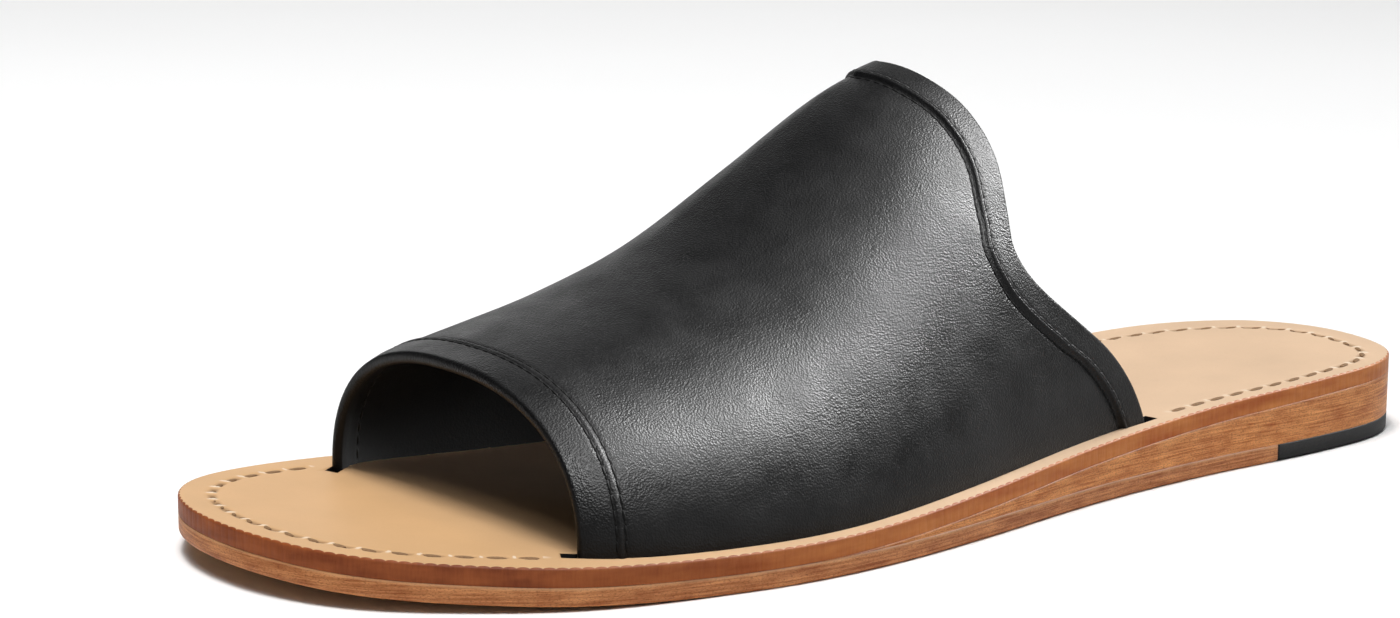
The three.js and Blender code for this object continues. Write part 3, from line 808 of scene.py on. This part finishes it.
top_tone = add(insole_leather, "ShaderNodeMix", {0: pore_mask, 6: top_tone, 7: colour("#b98a5a")}, 2, data_type="RGBA")
edge_along = add(insole_leather, "ShaderNodeCombineXYZ", {"X": insole_run, "Y": insole_height, "Z": 0})
ridge_place = add(insole_leather, "ShaderNodeMapping", {"Vector": edge_along, "Scale": (1 / (0.8 * MM), 1 / (5 * MM), 1)})
ridges = add(insole_leather, "ShaderNodeTexNoise", {"Vector": ridge_place, "Scale": 1, "Detail": 4, "Roughness": 0.65})
patch_place = add(insole_leather, "ShaderNodeMapping", {"Vector": edge_along, "Scale": (1 / (16 * MM), 1 / (4 * MM), 1)})
patches = add(insole_leather, "ShaderNodeTexNoise", {"Vector": patch_place, "Scale": 1, "Detail": 3})
edge_sum = add(insole_leather, "ShaderNodeMath", {0: ridges, 1: 0.35, 2: patches}, operation="MULTIPLY_ADD")
edge_range = add(insole_leather, "ShaderNodeMapRange", {"Value": edge_sum, "From Min": 0.42, "From Max": 0.95})
toe_mix = {0: edge_range, 6: colour("#6e3219"), 7: colour("#a65c31")}
toe_edge_tone = add(insole_leather, "ShaderNodeMix", toe_mix, 2, data_type="RGBA")
heel_mix = {0: edge_range, 6: colour("#a65322"), 7: colour("#d08546")}
heel_edge_tone = add(insole_leather, "ShaderNodeMix", heel_mix, 2, data_type="RGBA")
edge_mix = {0: heelward, 6: toe_edge_tone, 7: heel_edge_tone}
edge_tone = add(insole_leather, "ShaderNodeMix", edge_mix, 2, data_type="RGBA")
wheel_phase = add(insole_leather, "ShaderNodeMath", {0: insole_run, 1: math.pi / wheel_pitch}, operation="MULTIPLY")
wheel_wave = add(insole_leather, "ShaderNodeMath", {0: wheel_phase}, operation="SINE")
wheel_teeth = add(insole_leather, "ShaderNodeMath", {0: wheel_wave}, operation="ABSOLUTE")
scallop = add(insole_leather, "ShaderNodeMath", {0: wheel_teeth, 1: 0.34 * MM, 2: 0.1 * MM}, operation="MULTIPLY_ADD")
past_scallop = add(insole_leather, "ShaderNodeMath", {0: insole_inset, 1: scallop}, operation="SUBTRACT")
on_top = add(insole_leather, "ShaderNodeMapRange", {"Value": past_scallop, "From Min": 0, "From Max": 0.12 * MM})
insole_mix = {0: on_top, 6: edge_tone, 7: top_tone}
insole_tone = add(insole_leather, "ShaderNodeMix", insole_mix, 2, data_type="RGBA")
side_relief = add(insole_leather, "ShaderNodeMath", {0: wheel_teeth, 1: 0.6, 2: ridges}, operation="MULTIPLY_ADD")
top_relief = add(insole_leather, "ShaderNodeMath", {0: fine_pores, 1: 0.12}, operation="MULTIPLY")
relief_mix = {0: on_top, 2: side_relief, 3: top_relief}
insole_relief = add(insole_leather, "ShaderNodeMix", relief_mix, 0)
insole_bump = add(insole_leather, "ShaderNodeBump", {"Height": insole_relief, "Strength": 0.6, "Distance": 0.15 * MM})
insole_look = {"Base Color": insole_tone, "Roughness": 0.5, "Normal": insole_bump, "Specular IOR Level": 0.09}
add_output(insole_leather, add(insole_leather, "ShaderNodeBsdfPrincipled", insole_look))

insole_sheet = sole_sheet(200, insole_insets, insole_upper_face, insole_lower_face)
# Walls of the slots: near black and matt, painted shade for the deep narrow slots
slot_shade_wall = black_hide("slot_wall_painted_shade", "#0c0b0a", "#060606", 0.8, 0.1, 0.5 * MM, 0.02 * MM)
insole = make_piece(insole_sheet, "leather_insole", [insole_leather, slot_shade_wall], "insole")


def slot_cutter(ring):
    """A closed block in the shape of one slot, round a foot of the upper."""
    outer = ring[:outer_count, :2]
    inner = ring[inner_start:inner_end, :2][::-1]
    inner = inner[np.round(np.linspace(0, len(inner) - 1, outer_count)).astype(int)]
    apart = unit(outer - inner) * slot_clearance
    room = fold_rounding + slot_end_room
    front, back = unit(outer[0] - outer[8]) * room, unit(outer[-1] - outer[-9]) * room
    back_end = [outer[-1] + apart[-1] + back, inner[-1] - apart[-1] + back]
    front_end = [inner[0] - apart[0] + front, outer[0] + apart[0] + front]
    line = np.concatenate([outer + apart, back_end, (inner - apart)[::-1], front_end])
    cutter = bmesh.new()
    floor_face = cutter.faces.new([cutter.verts.new((*point, 0)) for point in line])
    grown = bmesh.ops.extrude_face_region(cutter, geom=[floor_face])
    lifted = [part for part in grown["geom"] if isinstance(part, bmesh.types.BMVert)]
    bmesh.ops.translate(cutter, verts=lifted, vec=(0, 0, 2 * heel_height))
    bmesh.ops.recalc_face_normals(cutter, faces=cutter.faces[:])
    mesh = bpy.data.meshes.new("slot_cutter")
    cutter.to_mesh(mesh)
    cutter.free()
    block = bpy.data.objects.new("slot_cutter", mesh)
    bpy.context.scene.collection.objects.link(block)
    return block


cutters = [slot_cutter(ring) for ring in (rings[1], rings[-2])]
for cutter in cutters:
    cut = insole.modifiers.new("slot", "BOOLEAN")
    cut.object = cutter
    cut.operation = "DIFFERENCE"
    cut.solver = "MANIFOLD"
slotted = insole.evaluated_get(bpy.context.evaluated_depsgraph_get())
slotted_mesh = bpy.data.meshes.new_from_object(slotted)
insole.modifiers.clear()
insole.data = slotted_mesh
for cutter in cutters:
    bpy.data.objects.remove(cutter)

# The slots' walls get a near-black matt material, painted shade in the narrow slots, and the stitches' dimples and the
# leather between them are told to the material
for face in slotted_mesh.polygons:
    place = place_of_y(face.center.y)
    to_side = LATERAL if face.center.x > side_shift else MEDIAL
    rim = side_shift + outline(turn_of_place(place), to_side)[0]
    face.material_index = int(abs(face.normal.z) < 0.3 and abs(rim - face.center.x) > 2.5 * MM and 0.1 < place < 0.8)
corners = np.array([vert.co for vert in slotted_mesh.vertices])
pressed_values = stitch_relief(corners[:, 0], corners[:, 1])
slotted_mesh.attributes.new("pressed", "FLOAT", "POINT").data.foreach_set("value", pressed_values)

# INSOLE STITCHES
# The real stitches are thick waxed linen thread, natural brown, about 6 mm apart and pressed into the leather.
# They run round the toe and round the heel, and stop at the slots, where the upper is glued in.
waxed_linen = new_material("waxed_linen_thread")
linen_place = add(waxed_linen, "ShaderNodeTexCoord", {}, "Object")
linen_noise = add(waxed_linen, "ShaderNodeTexNoise", {"Vector": linen_place, "Scale": 1 / (0.5 * MM), "Detail": 3})
linen_mix = {0: linen_noise, 6: colour("#6a4e36"), 7: colour("#a3825f")}
linen_tone = add(waxed_linen, "ShaderNodeMix", linen_mix, 2, data_type="RGBA")
linen_bump = add(waxed_linen, "ShaderNodeBump", {"Height": linen_noise, "Strength": 0.8, "Distance": 0.15 * MM})
linen_look = {"Base Color": linen_tone, "Roughness": 0.7, "Normal": linen_bump, "Specular IOR Level": 0.05}
add_output(waxed_linen, add(waxed_linen, "ShaderNodeBsdfPrincipled", linen_look))

linen_radius = 0.72 * MM
linen_mesh = bmesh.new()
for line in stitch_lines:
    heights = insole_top(place_of_y(line[:, 1])) - 0.28 * MM
    points = np.concatenate([line, heights[:, None]], 1)
    up = np.tile([0.0, 0.0, 1.0], (len(points), 1))
    stitch_row(linen_mesh, points, up, insole_stitch_pitch, insole_stitch_length, linen_radius, 0.5, 10, 7)
make_piece(linen_mesh, "insole_stitches", [waxed_linen])


# STUDIO
# A white table with soft light from above and both sides, as for a catalogue picture.
# The camera stands where the photograph's did: low, on the toe's outer side.
table_paint = new_material("white_table")
table_place = add(table_paint, "ShaderNodeTexCoord", {}, "Object")
table_noise = add(table_paint, "ShaderNodeTexNoise", {"Vector": table_place, "Scale": 3})
table_mix = {0: table_noise, 6: colour("#f6f6f6"), 7: colour("#fafafa")}
table_tone = add(table_paint, "ShaderNodeMix", table_mix, 2, data_type="RGBA")
table_look = {"Base Color": table_tone, "Roughness": 0.9, "Specular IOR Level": 0.0}
add_output(table_paint, add(table_paint, "ShaderNodeBsdfPrincipled", table_look))

table_bm = bmesh.new()
bmesh.ops.create_grid(table_bm, x_segments=1, y_segments=1, size=6)
table_mesh = bpy.data.meshes.new("studio_table")
table_bm.to_mesh(table_mesh)
table_bm.free()
table_mesh.materials.append(table_paint)
table = bpy.data.objects.new("studio_table", table_mesh)
bpy.context.scene.collection.objects.link(table)

world = bpy.data.worlds.new("studio_light")
bpy.context.scene.world = world
world.use_nodes = True
world.node_tree.nodes["Background"].inputs["Color"].default_value = (1, 1, 1, 1)
world.node_tree.nodes["Background"].inputs["Strength"].default_value = 0.08
bpy.context.scene.view_settings.view_transform = "Standard"


def softbox(name, turn, tilt, distance, size, radiance, seen_in="both"):
    """A square light that faces the sandal: turn goes from the toe's side towards +X, tilt is above the table.
    One that is seen in gloss shapes the leather's shine only, and one seen in diffuse only lights surfaces."""
    a, e = math.radians(turn), math.radians(tilt)
    away = Vector((math.sin(a) * math.cos(e), -math.cos(a) * math.cos(e), math.sin(e)))
    light = bpy.data.lights.new(name, "AREA")
    light.size = size
    light.energy = radiance * math.pi * size**2
    lamp = bpy.data.objects.new(name, light)
    lamp.location = Vector((0, 0, 0.04)) + away * distance
    lamp.rotation_euler = away.to_track_quat("Z", "Y").to_euler()
    lamp.visible_diffuse = seen_in != "gloss"
    lamp.visible_glossy = seen_in != "diffuse"
    bpy.context.scene.collection.objects.link(lamp)


softbox("ceiling_softbox", 0, 84, 3.0, 2.6, 2.2)
softbox("overhead_lamp", 20, 82, 2.6, 0.8, 26, seen_in="diffuse")
softbox("heel_side_softbox", 153, 58, 1.3, 0.42, 140, seen_in="gloss")
softbox("heel_lamp", 166, 32, 1.3, 0.2, 420, seen_in="gloss")
softbox("toe_side_softbox", 66, 46, 1.4, 0.38, 105, seen_in="gloss")
softbox("inner_side_softbox", -108, 18, 2.0, 0.8, 1.6, seen_in="gloss")
softbox("outer_side_softbox", 104, 6, 1.6, 0.5, 3.2, seen_in="gloss")

camera_right = Vector((0.53178989, 0.84686944, 0.00341622))
camera_down = Vector((0.16836849, -0.10177153, -0.98045633))
camera_ahead = Vector((-0.82997082, 0.52197194, -0.1967072))
camera_data = bpy.data.cameras.new("camera")
camera_data.sensor_width = 36
camera_data.lens = 83.22
camera = bpy.data.objects.new("camera", camera_data)
turned = Matrix((camera_right, -camera_down, -camera_ahead)).transposed()
camera.matrix_world = Matrix.Translation((0.56356, -0.39484, 0.17805)) @ turned.to_4x4()
bpy.context.scene.collection.objects.link(camera)
bpy.context.scene.camera = camera
